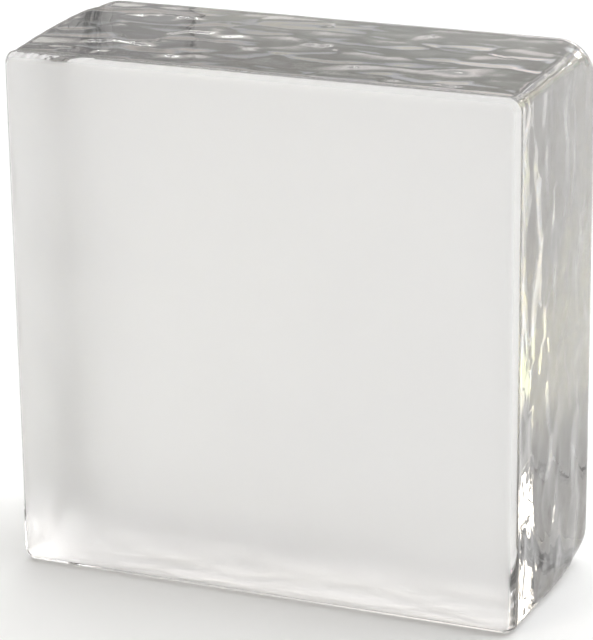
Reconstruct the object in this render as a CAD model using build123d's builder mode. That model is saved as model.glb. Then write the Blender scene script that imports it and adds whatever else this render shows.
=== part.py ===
"""Solid cast glass block for laying in a wall: nominally 190 x 190 mm, 80 mm thick.

The block stands on edge, as it is laid, with its face towards -Y and +Z up. It is one
piece of clear glass. The face was cast against the flat bottom of an open mould, so its
edges are crisp. The four sides have the mould's draft and widen towards the back. The
back was the free surface of the melt: the glass drew back there, so its rim is softer and
the corners of the outline open out from a small radius at the face to a large one.

One drafted side is the seat and lies level on Z = 0, so the face and the back lean
forward by the draft angle. The origin is the middle of that seat.
"""

import os
from math import cos, radians, sin, tan

from build123d import *

# Outline at the back, before its corners and rim are rounded. The module is 190 x 190,
# and this casting stands a little taller than it is wide.
WIDTH = 189.0
HEIGHT = 191.0

# Distance from the face to the back
THICKNESS = 80.0

# Slope of each side against the line from face to back, in degrees
DRAFT_ANGLE = 1.5

# Corners of the outline, at the face and at the back
FACE_CORNER_RADIUS = 5.0
BACK_CORNER_RADIUS = 16.0

# Rims, where the sides meet the face and the back
FACE_RIM_RADIUS = 4.0
BACK_RIM_RADIUS = 7.5

# How far the waste that is cut off a corner reaches past the sides
CUT_OVERLAP = 5.0

# What the draft takes off each side of the outline, from the back to the face
lean = radians(DRAFT_ANGLE)
draft_inset = THICKNESS * tan(lean)

# The back is drawn on a plane that leans forward until the lower side is level
seat_depth = THICKNESS / cos(lean)
back_centre = (0, seat_depth / 2 - HEIGHT / 2 * sin(lean), HEIGHT / 2 * cos(lean))
towards_face = (0, -cos(lean), -sin(lean))
back_plane = Plane(origin=back_centre, x_dir=(1, 0, 0), z_dir=towards_face)
face_plane = back_plane.offset(THICKNESS)
depth_axis = Axis(back_centre, towards_face)


def corner_waste(plane, inset, radius, right, up):
    """The area outside the rounding of one corner, on a plane where the sides are inset.

    right and up are 1 or -1 and name the corner: right = 1 is towards +X, up = 1 is the top.
    """
    arc_centre = (right * (WIDTH / 2 - inset - radius), up * (HEIGHT / 2 - inset - radius))
    align_x = Align.MIN if right > 0 else Align.MAX
    align_y = Align.MIN if up > 0 else Align.MAX
    with BuildSketch(plane) as waste:
        with Locations(arc_centre):
            Rectangle(radius + CUT_OVERLAP, radius + CUT_OVERLAP, align=(align_x, align_y))
            Circle(radius, mode=Mode.SUBTRACT)
    return waste.sketch.face()


with BuildPart() as glass_block:
    # The square block, with the draft on its four sides
    with BuildSketch(back_plane):
        Rectangle(WIDTH, HEIGHT)
    extrude(amount=THICKNESS)
    sides = glass_block.faces().filter_by(depth_axis, reverse=True)
    draft(sides, back_plane, DRAFT_ANGLE)

    # Each corner is cut to a cone that is wide at the back and tight at the face
    for right in (-1, 1):
        for up in (-1, 1):
            back_waste = corner_waste(back_plane, 0, BACK_CORNER_RADIUS, right, up)
            face_waste = corner_waste(face_plane, draft_inset, FACE_CORNER_RADIUS, right, up)
            loft([back_waste, face_waste], ruled=True, mode=Mode.SUBTRACT)

    # The crisp rim round the face and the soft one round the back
    face = glass_block.faces().sort_by(depth_axis)[-1]
    fillet(face.edges(), FACE_RIM_RADIUS)
    back = glass_block.faces().sort_by(depth_axis)[0]
    fillet(back.edges(), BACK_RIM_RADIUS)

glass_block.part.label = "glass_block"

os.makedirs("parts", exist_ok=True)
export_step(glass_block.part, "parts/glass_block.step")
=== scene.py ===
"""Looks for a solid cast glass block that stands on edge: the rippled glass, a pale studio and the camera."""

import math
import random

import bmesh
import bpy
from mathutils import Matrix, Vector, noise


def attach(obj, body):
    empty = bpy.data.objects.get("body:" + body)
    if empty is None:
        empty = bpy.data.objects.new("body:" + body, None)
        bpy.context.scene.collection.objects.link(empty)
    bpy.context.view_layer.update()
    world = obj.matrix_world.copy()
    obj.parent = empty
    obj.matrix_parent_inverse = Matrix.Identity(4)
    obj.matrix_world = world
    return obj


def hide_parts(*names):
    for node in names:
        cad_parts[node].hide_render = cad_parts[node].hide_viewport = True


bl_info = {
    "name": "Cast Glass Block",
    "version": (1, 0, 0),
    "blender": (4, 5, 0),
    "location": "View3D > Sidebar > Glass Block",
    "description": "Builds a rippled cast glass block and a pale studio round it",
    "category": "Add Mesh",
}

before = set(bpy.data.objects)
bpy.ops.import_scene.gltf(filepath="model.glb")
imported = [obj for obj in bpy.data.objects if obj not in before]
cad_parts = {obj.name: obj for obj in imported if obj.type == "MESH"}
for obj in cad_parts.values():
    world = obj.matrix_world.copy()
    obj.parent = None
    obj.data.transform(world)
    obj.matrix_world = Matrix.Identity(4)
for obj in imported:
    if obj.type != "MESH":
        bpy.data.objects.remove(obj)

NODE = "glass_block"
BODY = "root"

RIGHT_ANGLE = math.radians(90)

# Steps round each corner and rim, and outlines from face to back
CORNER_STEPS = 10
FACE_RIM_STEPS = 7
BACK_RIM_STEPS = 10
RINGS = 9

# The pattern of the ripples, in lengths of one ripple: shallow dishes, each tilted its own way, that blend softly
# into each other and lie on slow waves
RIPPLE_SEED = 3
BEND = 0.35
BEND_SCALE = 0.7
DISH_CURVE = 0.5
DISH_TILT = 0.8
TILT_SCALE = 7.3
CREASE = 22.0
WAVE_SCALE = 0.6
WAVE_PLACE = Vector((17.3, 5.1, 9.7))

# The ripples' depth, as shares of the full depth
MIDDLE_DEPTH = 0.55
DISH_SHARE = 0.9
WAVE_SHARE = 0.6
LEAST_DEPTH = 0.05

# Where the ripples fade, in radii of the rim or corner that they come to, and what they lose or gain on each side
FACE_FADE = (0.5, 1.75)
BACK_FADE = (2.0, 0.3)
CORNER_FADE = (0.8, 1.8)
BACK_LOSS = 0.9
SEAT_LOSS = 0.5
TOP_LOSS = 0.15
FLANK_GAIN = 0.5

# How squarely a point faces a direction, from where it begins to count to where it counts in full
SIDE_FACING = (0.5, 0.9)
SATIN_FACING = (0.8, 0.98)

# Fine finish of the glass: scale of each pattern, its range, and the roughness or depth that it gives
HAZE_SCALE = 60.0
HAZE_RANGE = (0.4, 0.7)
HAZE_ROUGHNESS = (0.0, 0.02)
SKIN_SCALE = 180.0
SKIN_DEPTH = 0.00004
GRAIN_SCALE = 1500.0
GRAIN_DEPTH = 0.00003
FINE_DETAIL = 2.0

# The floor's finish, the hair's breadth that it lies under the block, and the light's and camera's fixed values
FLOOR_ROUGHNESS = 0.9
FLOOR_SHINE = 0.1
FLOOR_GAP = 0.0002
LIGHT_BOUNCES = 32
SENSOR_HEIGHT = 36.0

# Where the sky dims towards the front and the left, along the direction's Y and X, and what lies between
FRONT_REACH = (-0.6, 0.6)
LEFT_REACH = (-0.8, 0.0)

# Soft patches in the low sky, and the tints and sparks that the ripples pick up
PATCH_SCALE = 5.0
PATCH_RANGE = (0.40, 0.60)
PATCH_LEVELS = (0.60, 1.40)
LOW_SKY = (0.50, 0.60)
TINT_SCALE = 9.0
TINT_SHARE = 0.35
SPARK_RANGE = (0.64, 0.68)
SPARK_LEVELS = (1.0, 4.0)
SOFT_DETAIL = 1.0

# Bands of the sky: sine of the height above the horizon, and the light's red, green and blue there.
SKY_BANDS = (
    (0.00, (0.60, 0.60, 0.60)),
    (0.10, (0.60, 0.60, 0.60)),
    (0.16, (0.92, 0.89, 0.86)),
    (0.20, (0.92, 0.89, 0.86)),
    (0.23, (1.60, 1.48, 1.34)),
    (0.27, (1.25, 1.29, 1.36)),
    (0.30, (0.72, 0.71, 0.68)),
    (0.37, (0.72, 0.71, 0.68)),
    (0.42, (1.62, 1.58, 1.51)),
    (0.46, (0.80, 0.80, 0.80)),
    (0.52, (0.95, 0.95, 0.95)),
    (0.60, (1.60, 1.60, 1.60)),
    (1.00, (1.60, 1.60, 1.60)),
)

# The soft box at the front left
SOFT_BOX_PLACE = (-0.65, -1.35, 0.5)
SOFT_BOX_TARGET = (0, 0, 0.1)
SOFT_BOX_SIZE = (0.6, 0.55)
SOFT_BOX_COLOR = (1, 0.94, 0.83)

# Small pools of light on the floor at the front left, which sparkle through the block's right side. They lie along
# a line that leads away from the block and spread more towards its far end.
POOL_SEED = 5
POOL_COUNT = 26
POOL_NEAR = Vector((-0.150, -0.090, 0.0))
POOL_FAR = Vector((-0.310, -0.580, 0.0))
POOL_SPREADS = (0.025, 0.100)
POOL_ANGLES = (0.026, 0.046)
POOL_SHARES = (0.7, 1.6)
POOL_LAMP = Vector((-0.25, -0.25, 1.2))
POOL_BLEND = 0.1
POOL_LAMP_RADIUS = 0.01
POOL_COLORS = ((1.00, 0.96, 0.62), (1.00, 0.90, 0.42), (0.90, 1.00, 0.52), (0.42, 0.66, 1.00), (1.00, 0.76, 0.48))


class BlockSettings(bpy.types.PropertyGroup):
    """Sizes of the cast block, as the solid has them, and of the ripples in its sides."""

    width: bpy.props.FloatProperty(
        name="Width", description="Width of the outline at the back", default=0.189, unit="LENGTH")
    height: bpy.props.FloatProperty(
        name="Height", description="Height of the outline at the back", default=0.191, unit="LENGTH")
    thickness: bpy.props.FloatProperty(
        name="Thickness", description="Distance from the face to the back", default=0.080, unit="LENGTH")
    draft: bpy.props.FloatProperty(
        name="Draft", description="Slope of each side against the line from face to back",
        default=math.radians(1.5), subtype="ANGLE")
    face_corner: bpy.props.FloatProperty(
        name="Face corner", description="Radius of the outline's corners at the face", default=0.005, unit="LENGTH")
    back_corner: bpy.props.FloatProperty(
        name="Back corner", description="Radius of the outline's corners at the back", default=0.016, unit="LENGTH")
    corner_opening: bpy.props.FloatProperty(
        name="Corner opening", description="1 opens the corners evenly from face to back, more opens them later",
        default=5.0)
    face_rim: bpy.props.FloatProperty(
        name="Face rim", description="Rounding where the sides meet the face", default=0.004, unit="LENGTH")
    back_rim: bpy.props.FloatProperty(
        name="Back rim", description="Rounding where the sides meet the back", default=0.0075, unit="LENGTH")
    cell: bpy.props.FloatProperty(
        name="Cell", description="Size of the mesh's cells on the sides", default=0.0011, unit="LENGTH")
    ripple_depth: bpy.props.FloatProperty(
        name="Ripple depth", description="How deep the ripples sink into the sides", default=0.00085, unit="LENGTH")
    ripple_length: bpy.props.FloatProperty(
        name="Ripple length", description="Length of a ripple round the sides", default=0.0160, unit="LENGTH")
    ripple_width: bpy.props.FloatProperty(
        name="Ripple width", description="Width of a ripple from face to back", default=0.0078, unit="LENGTH")


class GlassSettings(bpy.types.PropertyGroup):
    """The finish of the glass, clear on its sides and back and satin on its face."""

    tint: bpy.props.FloatVectorProperty(
        name="Tint", description="What a short path through the glass lets pass", default=(0.9068, 0.9040, 0.9022),
        size=3, subtype="COLOR", min=0.0, max=1.0)
    density: bpy.props.FloatProperty(
        name="Density", description="How fast a long path through the glass darkens, for each metre", default=40.0)
    ior: bpy.props.FloatProperty(name="Refraction", description="Index of refraction", default=1.54)
    satin: bpy.props.FloatProperty(
        name="Satin", description="Roughness of the satin face", default=0.62, min=0.0, max=1.0)


class StudioSettings(bpy.types.PropertyGroup):
    """The floor, the light round the block and the camera."""

    floor_size: bpy.props.FloatProperty(
        name="Floor size", description="Side of the floor", default=8.0, unit="LENGTH")
    floor_color: bpy.props.FloatVectorProperty(
        name="Floor", description="Colour of the pale floor", default=(0.92, 0.92, 0.92),
        size=3, subtype="COLOR", min=0.0, max=1.0)
    sky_strength: bpy.props.FloatProperty(
        name="Sky", description="Strength of the light from all round", default=1.56)
    sky_front: bpy.props.FloatProperty(
        name="Front sky", description="Share of that light that comes from in front of the face", default=0.08)
    sky_left: bpy.props.FloatProperty(
        name="Left sky", description="Share of that light that comes from the left", default=0.35)
    key_power: bpy.props.FloatProperty(
        name="Soft box", description="Power of the soft box at the front left", default=9.0, unit="POWER")
    pool_power: bpy.props.FloatProperty(
        name="Pools", description="Power of each small lamp on the floor at the front left", default=150.0,
        unit="POWER")
    aim: bpy.props.FloatVectorProperty(
        name="Aim", description="Point that the camera looks at", default=(0.0116, -0.0350, 0.1011),
        size=3, subtype="TRANSLATION")
    distance: bpy.props.FloatProperty(
        name="Distance", description="From the camera to the point it looks at", default=1.0531, unit="LENGTH")
    azimuth: bpy.props.FloatProperty(
        name="Azimuth", description="How far the camera stands round to the right of the face",
        default=math.radians(22.534), subtype="ANGLE")
    elevation: bpy.props.FloatProperty(
        name="Elevation", description="How far the camera looks down", default=math.radians(17.844), subtype="ANGLE")
    roll: bpy.props.FloatProperty(
        name="Roll", description="Turn of the camera about its line of sight",
        default=math.radians(-0.139), subtype="ANGLE")
    lens: bpy.props.FloatProperty(
        name="Lens", description="Focal length on a frame 36 mm high", default=176.18, unit="CAMERA")


def rounded_outline(bm, width, height, radius, y, straight_steps):
    """An upright face with rounded corners at depth y."""
    place = (Matrix.Translation((0, y, 0)) @ Matrix.Rotation(RIGHT_ANGLE, 4, "X")
             @ Matrix.Diagonal((width, height, 1, 1)))
    others = set(bm.faces)
    made = bmesh.ops.create_grid(bm, x_segments=1, y_segments=1, size=0.5, matrix=place)
    bmesh.ops.bevel(
        bm, geom=made["verts"], offset=radius, offset_type="OFFSET", segments=CORNER_STEPS, profile=0.5,
        affect="VERTICES", clamp_overlap=False, material=-1)
    outline = max((f for f in bm.faces if f not in others), key=lambda f: f.calc_area())
    straights = sorted(outline.edges, key=lambda e: -e.calc_length())[:4]
    bmesh.ops.subdivide_edges(bm, edges=straights, cuts=straight_steps - 1)
    return max((f for f in bm.faces if f not in others), key=lambda f: f.calc_area())


def cast_block_mesh(b):
    """The block's mesh in its own frame: face at y = 0, back at y = thickness, middle of the outline at x = z = 0."""
    bm = bmesh.new()
    straight_steps = round(b.height / b.cell)
    outlines = []
    for ring in range(RINGS):
        share = ring / (RINGS - 1)
        inset = b.thickness * (1 - share) * math.tan(b.draft)
        radius = b.face_corner + (b.back_corner - b.face_corner) * share ** b.corner_opening
        outlines.append(rounded_outline(
            bm, b.width - 2 * inset, b.height - 2 * inset, radius, share * b.thickness, straight_steps))
    for nearer, farther in zip(outlines, outlines[1:]):
        bmesh.ops.bridge_loops(bm, edges=list(nearer.edges) + list(farther.edges))
    bmesh.ops.delete(bm, geom=outlines[1:-1], context="FACES_ONLY")
    bmesh.ops.recalc_face_normals(bm, faces=bm.faces)
    # Each rim's offset is measured along the face and the side, so it follows from the angle between them
    for cap, rim, steps, angle in ((outlines[0], b.face_rim, FACE_RIM_STEPS, RIGHT_ANGLE + b.draft),
                                   (outlines[-1], b.back_rim, BACK_RIM_STEPS, RIGHT_ANGLE - b.draft)):
        bmesh.ops.bevel(
            bm, geom=list(cap.edges), offset=rim / math.tan(angle / 2), offset_type="OFFSET", segments=steps,
            profile=0.5, affect="EDGES", clamp_overlap=False, material=-1)
    ring_depth = b.thickness / (RINGS - 1)
    long_edges = [e for e in bm.edges if abs(e.verts[0].co.y - e.verts[1].co.y) > ring_depth / 2]
    bmesh.ops.subdivide_edges(bm, edges=long_edges, cuts=round(ring_depth / b.cell) - 1)
    # A narrow border keeps the shading of the rims off the flat face and back
    cap_border = b.cell / 3
    for sign in (-1, 1):
        cap = max(bm.faces, key=lambda f: f.calc_area() * sign * (f.calc_center_median().y - b.thickness / 2))
        bmesh.ops.inset_region(bm, faces=[cap], thickness=cap_border, use_even_offset=True)
    bmesh.ops.recalc_face_normals(bm, faces=bm.faces)
    return bm


def smooth_step(low, high, value):
    """0 below low, 1 above high and a smooth rise between."""
    t = min(max((value - low) / (high - low), 0.0), 1.0)
    return t * t * (3 - 2 * t)


def ripple(co, b):
    """Depth of the ripples at a point, from 0 at a crest to 1 in a hollow: shallow tilted dishes on slow waves."""
    p = Vector((co.x / b.ripple_length, co.y / b.ripple_width, co.z / b.ripple_length))
    p = p + BEND * noise.noise_vector(p * BEND_SCALE)
    reach, middles = noise.voronoi(p)
    total = 0.0
    for distance, middle in zip(reach, middles):
        tilt = noise.noise_vector(middle * TILT_SCALE)
        total += math.exp(-CREASE * (DISH_CURVE * distance * distance + DISH_TILT * tilt.dot(p - middle)))
    dish = -math.log(total) / CREASE
    waves = noise.noise(p * WAVE_SCALE + WAVE_PLACE)
    return min(max(MIDDLE_DEPTH - DISH_SHARE * dish - WAVE_SHARE * waves, LEAST_DEPTH), 1.0)


def ripple_sides(bm, b):
    """Sinks the ripples into the four sides, most on the flanks, and least on the seat and by the rims."""
    noise.seed_set(RIPPLE_SEED)
    bm.normal_update()
    face_fade = [b.face_rim * radii for radii in FACE_FADE]
    back_fade = [b.thickness - b.back_rim * radii for radii in BACK_FADE]
    corner_fade = [b.face_corner * radii for radii in CORNER_FADE]
    moves = []
    for v in bm.verts:
        side = math.sqrt(v.normal.x ** 2 + v.normal.z ** 2)
        near_face = smooth_step(*face_fade, v.co.y)
        near_back = 1 - BACK_LOSS * smooth_step(*back_fade, v.co.y)
        seat = SEAT_LOSS * smooth_step(*SIDE_FACING, -v.normal.z)
        top = TOP_LOSS * smooth_step(*SIDE_FACING, v.normal.z)
        from_corner = b.width / 2 - abs(v.co.x) + b.height / 2 - abs(v.co.z)
        corner = smooth_step(*corner_fade, from_corner)
        flank = 1 + FLANK_GAIN * smooth_step(*SIDE_FACING, abs(v.normal.x))
        amount = b.ripple_depth * side * corner * near_face * near_back * (1 - seat - top) * flank
        moves.append(-amount * ripple(v.co, b) * v.normal)
    for v, move in zip(bm.verts, moves):
        v.co += move


def mark_satin(bm, b):
    """Marks the satin face with 1, fading to 0 over its rim, in an attribute that the glass reads."""
    layer = bm.verts.layers.float.new("satin_face")
    for v in bm.verts:
        if v.co.y < b.face_rim:
            v[layer] = smooth_step(*SATIN_FACING, -v.normal.y)


def seat_matrix(b):
    """Leans the block forward by its draft, so that its lower side is level on z = 0."""
    lean = Matrix.Rotation(b.draft, 4, "X")
    back_y = b.thickness / math.cos(b.draft) / 2 - b.height / 2 * math.sin(b.draft)
    back_z = b.height / 2 * math.cos(b.draft)
    return Matrix.Translation((0, back_y, back_z)) @ lean @ Matrix.Translation((0, -b.thickness, 0))


def map_range(tree, source, reach, levels):
    """A node that turns a range of the source into a range of levels; gives its output."""
    node = tree.nodes.new("ShaderNodeMapRange")
    for name, value in zip(("From Min", "From Max", "To Min", "To Max"), (*reach, *levels)):
        node.inputs[name].default_value = value
    tree.links.new(source, node.inputs["Value"])
    return node.outputs["Result"]


def math_node(tree, operation, first, second=None):
    """A node that works on a source and another source or a number; gives its output."""
    node = tree.nodes.new("ShaderNodeMath")
    node.operation = operation
    tree.links.new(first, node.inputs[0])
    if isinstance(second, float):
        node.inputs[1].default_value = second
    elif second is not None:
        tree.links.new(second, node.inputs[1])
    return node.outputs["Value"]


def add_noise(tree, place, scale, detail=FINE_DETAIL):
    """A noise node on the given coordinates."""
    node = tree.nodes.new("ShaderNodeTexNoise")
    node.inputs["Scale"].default_value = scale
    node.inputs["Detail"].default_value = detail
    tree.links.new(place, node.inputs["Vector"])
    return node


def add_bump(tree, place, scale, depth):
    """A bump node over a noise pattern of its own on the given coordinates."""
    node = tree.nodes.new("ShaderNodeBump")
    node.inputs["Strength"].default_value = 1.0
    node.inputs["Distance"].default_value = depth
    tree.links.new(add_noise(tree, place, scale).outputs["Fac"], node.inputs["Height"])
    return node


def cast_glass(g):
    """Clear glass with a faint tint that long paths show, and a fine skin, satin where the face is marked."""
    mat = bpy.data.materials.new("cast_glass")
    mat.use_nodes = True
    tree = mat.node_tree
    nodes = tree.nodes
    links = tree.links
    shader = nodes["Principled BSDF"]
    shader.inputs["Base Color"].default_value = (1, 1, 1, 1)
    shader.inputs["Transmission Weight"].default_value = 1.0
    shader.inputs["Metallic"].default_value = 0.0
    shader.inputs["IOR"].default_value = g.ior
    place = nodes.new("ShaderNodeTexCoord").outputs["Object"]
    satin = nodes.new("ShaderNodeAttribute")
    satin.attribute_name = "satin_face"
    haze = add_noise(tree, place, HAZE_SCALE).outputs["Fac"]
    rough_face = math_node(tree, "MULTIPLY", satin.outputs["Fac"], g.satin)
    rough = math_node(tree, "ADD", rough_face, map_range(tree, haze, HAZE_RANGE, HAZE_ROUGHNESS))
    links.new(rough, shader.inputs["Roughness"])
    skin = add_bump(tree, place, SKIN_SCALE, SKIN_DEPTH)
    grain = add_bump(tree, place, GRAIN_SCALE, GRAIN_DEPTH)
    links.new(satin.outputs["Fac"], grain.inputs["Strength"])
    links.new(skin.outputs["Normal"], grain.inputs["Normal"])
    links.new(grain.outputs["Normal"], shader.inputs["Normal"])
    volume = nodes.new("ShaderNodeVolumeAbsorption")
    volume.inputs["Color"].default_value = (*g.tint, 1)
    volume.inputs["Density"].default_value = g.density
    links.new(volume.outputs["Volume"], nodes["Material Output"].inputs["Volume"])
    return mat


def pale_floor(s):
    """A plain pale floor."""
    mat = bpy.data.materials.new("pale_floor")
    mat.use_nodes = True
    shader = mat.node_tree.nodes["Principled BSDF"]
    shader.inputs["Base Color"].default_value = (*s.floor_color, 1)
    shader.inputs["Roughness"].default_value = FLOOR_ROUGHNESS
    shader.inputs["Specular IOR Level"].default_value = FLOOR_SHINE
    return mat


def add_object(name, bm, material):
    """Links a finished mesh with its material, at the origin."""
    mesh = bpy.data.meshes.new(name)
    bm.to_mesh(mesh)
    bm.free()
    mesh.shade_smooth()
    mesh.materials.append(material)
    obj = bpy.data.objects.new(name, mesh)
    bpy.context.scene.collection.objects.link(obj)
    return obj


def add_lamp(name, kind, place, target, power, color):
    """A lamp at a place that points at a target, and that the camera doesn't see."""
    lamp = bpy.data.lights.new(name, kind)
    lamp.energy = power
    lamp.color = color
    obj = bpy.data.objects.new(name, lamp)
    away = Vector(place) - Vector(target)
    obj.matrix_world = Matrix.Translation(place) @ away.to_track_quat("Z", "Y").to_matrix().to_4x4()
    obj.visible_camera = False
    bpy.context.scene.collection.objects.link(obj)
    return lamp


class GLASSBLOCK_OT_cast_block(bpy.types.Operator):
    """Makes the rippled cast block"""

    bl_idname = "glassblock.cast_block"
    bl_label = "Cast Block"

    def execute(self, context):
        b = context.scene.glass_block_sizes
        bm = cast_block_mesh(b)
        mark_satin(bm, b)
        ripple_sides(bm, b)
        bmesh.ops.transform(bm, matrix=seat_matrix(b), verts=bm.verts)
        block = add_object("cast_block", bm, cast_glass(context.scene.glass_block_finish))
        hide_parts(NODE)
        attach(block, BODY)
        return {"FINISHED"}


class GLASSBLOCK_OT_studio(bpy.types.Operator):
    """Makes the floor, the light and the camera"""

    bl_idname = "glassblock.studio"
    bl_label = "Studio"

    def execute(self, context):
        s = context.scene.glass_block_studio
        bm = bmesh.new()
        drop = Matrix.Translation((0, 0, -FLOOR_GAP))
        bmesh.ops.create_grid(bm, x_segments=1, y_segments=1, size=s.floor_size / 2, matrix=drop)
        floor = add_object("floor", bm, pale_floor(s))
        self.sky(context.scene, s)
        self.light_paths(context.scene)
        self.lamps(s)
        self.camera(context.scene, s)
        return {"FINISHED"}

    def sky(self, scene, s):
        """Soft light from all round, in bands that the ripples pick up, and dimmer from the front."""
        world = bpy.data.worlds.new("soft_sky")
        world.use_nodes = True
        tree = world.node_tree
        nodes = tree.nodes
        links = tree.links
        direction = nodes.new("ShaderNodeTexCoord")
        parts = nodes.new("ShaderNodeSeparateXYZ")
        links.new(direction.outputs["Generated"], parts.inputs["Vector"])
        bands = nodes.new("ShaderNodeValToRGB")
        stops = bands.color_ramp.elements
        while len(stops) < len(SKY_BANDS):
            stops.new(0.5)
        for element, (height, light) in zip(stops, SKY_BANDS):
            element.position = height
            element.color = (*light, 1)
        links.new(parts.outputs["Z"], bands.inputs["Fac"])
        front = map_range(tree, parts.outputs["Y"], FRONT_REACH, (s.sky_front, 1.0))
        left = map_range(tree, parts.outputs["X"], LEFT_REACH, (s.sky_left, 1.0))
        patches = add_noise(tree, direction.outputs["Generated"], PATCH_SCALE, SOFT_DETAIL)
        patch_level = map_range(tree, patches.outputs["Fac"], PATCH_RANGE, PATCH_LEVELS)
        low = map_range(tree, parts.outputs["Z"], LOW_SKY, (1.0, 0.0))
        level = nodes.new("ShaderNodeMix")
        level.inputs["A"].default_value = 1.0
        links.new(low, level.inputs["Factor"])
        links.new(patch_level, level.inputs["B"])
        total = math_node(tree, "MULTIPLY", math_node(tree, "MULTIPLY", front, left), level.outputs["Result"])
        total = math_node(tree, "MULTIPLY", total, s.sky_strength)
        tints = add_noise(tree, direction.outputs["Generated"], TINT_SCALE, SOFT_DETAIL)
        tinted = nodes.new("ShaderNodeMix")
        tinted.data_type = "RGBA"
        tinted.blend_type = "OVERLAY"
        tinted.inputs["Factor"].default_value = TINT_SHARE
        links.new(bands.outputs["Color"], tinted.inputs["A"])
        links.new(tints.outputs["Color"], tinted.inputs["B"])
        sparks = map_range(tree, tints.outputs["Fac"], SPARK_RANGE, SPARK_LEVELS)
        total = math_node(tree, "MULTIPLY", total, sparks)
        links.new(tinted.outputs["Result"], nodes["Background"].inputs["Color"])
        links.new(total, nodes["Background"].inputs["Strength"])
        plain = nodes.new("ShaderNodeBackground")
        ray = nodes.new("ShaderNodeLightPath")
        seen = nodes.new("ShaderNodeMixShader")
        links.new(ray.outputs["Is Camera Ray"], seen.inputs["Fac"])
        links.new(nodes["Background"].outputs["Background"], seen.inputs[1])
        links.new(plain.outputs["Background"], seen.inputs[2])
        links.new(seen.outputs["Shader"], nodes["World Output"].inputs["Surface"])
        scene.world = world

    def light_paths(self, scene):
        """True colours, and enough bounces for light to find its way through the glass."""
        scene.view_settings.view_transform = "Standard"
        scene.cycles.max_bounces = LIGHT_BOUNCES
        scene.cycles.transmission_bounces = LIGHT_BOUNCES
        scene.cycles.glossy_bounces = LIGHT_BOUNCES

    def lamps(self, s):
        """A soft box at the front left, and small pools of light on the floor beside the block."""
        key = add_lamp("soft_box", "AREA", SOFT_BOX_PLACE, SOFT_BOX_TARGET, s.key_power, SOFT_BOX_COLOR)
        key.shape = "RECTANGLE"
        key.size, key.size_y = SOFT_BOX_SIZE
        chance = random.Random(POOL_SEED)
        sideways = (POOL_FAR - POOL_NEAR).cross(Vector((0, 0, 1))).normalized()
        for number in range(POOL_COUNT):
            along = number / (POOL_COUNT - 1)
            spread = POOL_SPREADS[0] + (POOL_SPREADS[1] - POOL_SPREADS[0]) * along
            target = POOL_NEAR.lerp(POOL_FAR, along) + chance.uniform(-spread, spread) * sideways
            pool = add_lamp("floor_pool", "SPOT", target + POOL_LAMP, target,
                            s.pool_power * chance.uniform(*POOL_SHARES), POOL_COLORS[number % len(POOL_COLORS)])
            pool.spot_size = chance.uniform(*POOL_ANGLES)
            pool.spot_blend = POOL_BLEND
            pool.shadow_soft_size = POOL_LAMP_RADIUS

    def camera(self, scene, s):
        """The camera at the photograph's angle."""
        camera = bpy.data.cameras.new("camera")
        camera.sensor_fit = "VERTICAL"
        camera.sensor_height = SENSOR_HEIGHT
        camera.lens = s.lens
        obj = bpy.data.objects.new("camera", camera)
        away = Vector((math.sin(s.azimuth) * math.cos(s.elevation), -math.cos(s.azimuth) * math.cos(s.elevation),
                       math.sin(s.elevation)))
        turn = Matrix.Rotation(s.azimuth, 4, "Z") @ Matrix.Rotation(RIGHT_ANGLE - s.elevation, 4, "X")
        turn = turn @ Matrix.Rotation(s.roll, 4, "Z")
        obj.matrix_world = Matrix.Translation(Vector(s.aim) + s.distance * away) @ turn
        scene.collection.objects.link(obj)
        scene.camera = obj


class GLASSBLOCK_PT_panel(bpy.types.Panel):
    """Lists the block's operators and sizes"""

    bl_idname = "GLASSBLOCK_PT_panel"
    bl_label = "Glass Block"
    bl_space_type = "VIEW_3D"
    bl_region_type = "UI"
    bl_category = "Glass Block"

    def draw(self, context):
        for group in (context.scene.glass_block_sizes, context.scene.glass_block_finish,
                      context.scene.glass_block_studio):
            box = self.layout.box()
            for name in group.__annotations__:
                box.prop(group, name)
        self.layout.operator("glassblock.cast_block")
        self.layout.operator("glassblock.studio")


CLASSES = (BlockSettings, GlassSettings, StudioSettings, GLASSBLOCK_OT_cast_block, GLASSBLOCK_OT_studio,
           GLASSBLOCK_PT_panel)


def register():
    for cls in CLASSES:
        bpy.utils.register_class(cls)
    bpy.types.Scene.glass_block_sizes = bpy.props.PointerProperty(type=BlockSettings)
    bpy.types.Scene.glass_block_finish = bpy.props.PointerProperty(type=GlassSettings)
    bpy.types.Scene.glass_block_studio = bpy.props.PointerProperty(type=StudioSettings)


def unregister():
    del bpy.types.Scene.glass_block_studio
    del bpy.types.Scene.glass_block_finish
    del bpy.types.Scene.glass_block_sizes
    for cls in reversed(CLASSES):
        bpy.utils.unregister_class(cls)


def main():
    """Builds the block and its studio."""
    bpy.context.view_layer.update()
    register()
    bpy.ops.glassblock.studio()
    bpy.ops.glassblock.cast_block()


if __name__ == "__main__":
    main()
